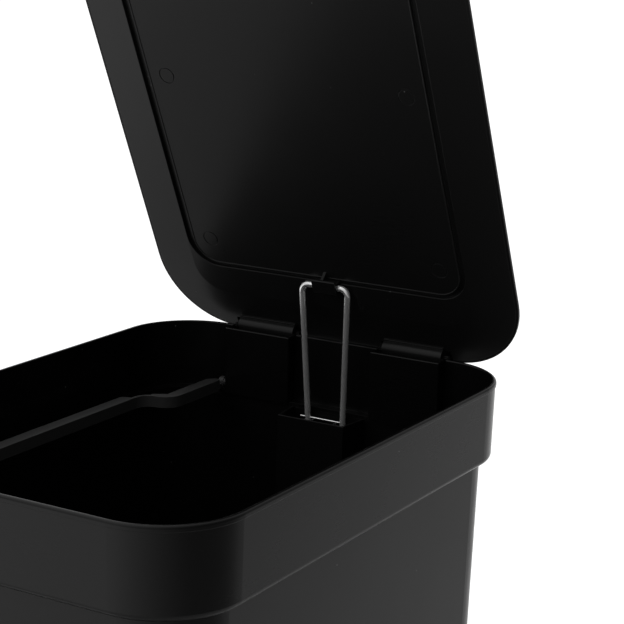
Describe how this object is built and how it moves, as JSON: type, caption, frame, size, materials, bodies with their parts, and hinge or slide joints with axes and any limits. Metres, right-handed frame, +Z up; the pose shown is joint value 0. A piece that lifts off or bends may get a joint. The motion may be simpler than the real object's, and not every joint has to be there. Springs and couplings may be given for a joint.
{
  "type": "pedal trash can",
  "caption": "Tall slim kitchen bin with a foot pedal, an open hinged lid lifted by a steel wire link, a rim collar and a swinging bag frame.",
  "frame": {"origin": "middle of the footprint on the floor, under the anti-slip feet, with the lid standing open", "axes": "+Z up; +Y towards the hinge side at the back; the pedal is at the front, towards -Y; +X to the right seen from the front"},
  "size_m": [0.2692, 0.3862, 0.939],
  "materials": {
    "body_plastic": "fine-grained matte black",
    "collar_plastic": "satin black",
    "lid_plastic": "satin black",
    "inner_plastic": "matte black",
    "frame_plastic": "satin black",
    "pedal_plastic": "satin black",
    "foot_rubber": "matte black rubber",
    "wire_steel": "bright drawn wire",
    "dark_steel": "black phosphated steel"
  },
  "bodies": {
    "bin": {"bin_body": "body_plastic", "rim_collar": "collar_plastic", "rod_duct": "inner_plastic", "base_ring": "collar_plastic", "base_plate": "inner_plastic", "base_screws": "dark_steel", "foot_front_left": "foot_rubber", "foot_front_right": "foot_rubber", "foot_back_left": "foot_rubber", "foot_back_right": "foot_rubber", "hinge_pin_left": "dark_steel", "hinge_pin_right": "dark_steel", "pedal_axle": "dark_steel", "axle_washer_left": "dark_steel", "axle_washer_right": "dark_steel"},
    "lid": {"lid_shell": "lid_plastic", "lid_liner": "lid_plastic", "lid_buffer_left": "foot_rubber", "lid_buffer_right": "foot_rubber"},
    "link": {"link_wire": "wire_steel"},
    "push_rod": {"push_rod": "dark_steel", "push_rod_head": "dark_steel"},
    "pedal": {"pedal_lever": "dark_steel", "pedal_tread": "pedal_plastic"},
    "bag_frame": {"bag_frame": "frame_plastic"}
  },
  "joints": [
    {"name": "lid_hinge", "type": "hinge", "parent": "bin", "child": "lid", "pos_m": [0, 0.1865, 0.5999], "axis": [-1, 0, 0], "range_deg": [-65.24, 0]},
    {"name": "link_swing", "type": "hinge", "parent": "lid", "child": "link", "pos_m": [0, 0.16388, 0.64035], "axis": [-1, 0, 0], "range_deg": [0, 51]},
    {"name": "push_rod_slide", "type": "slide", "parent": "bin", "child": "push_rod", "axis": [0, 0.0248, 0.9997], "range_m": [-0.0402, 0]},
    {"name": "pedal_tilt", "type": "hinge", "parent": "bin", "child": "pedal", "pos_m": [0, -0.035, 0.036], "axis": [1, 0, 0], "range_deg": [-12.3, 0]},
    {"name": "bag_frame_swing", "type": "hinge", "parent": "bin", "child": "bag_frame", "pos_m": [0, 0.175, 0.5602], "axis": [-1, 0, 0], "range_deg": [0, 5]}
  ],
  "couplings": [
    {"joint": "link_swing", "follows": "lid_hinge", "ratio": -0.778},
    {"joint": "push_rod_slide", "follows": "lid_hinge", "m_per_rad": 0.03504},
    {"joint": "pedal_tilt", "follows": "lid_hinge", "ratio": 0.187}
  ]
}
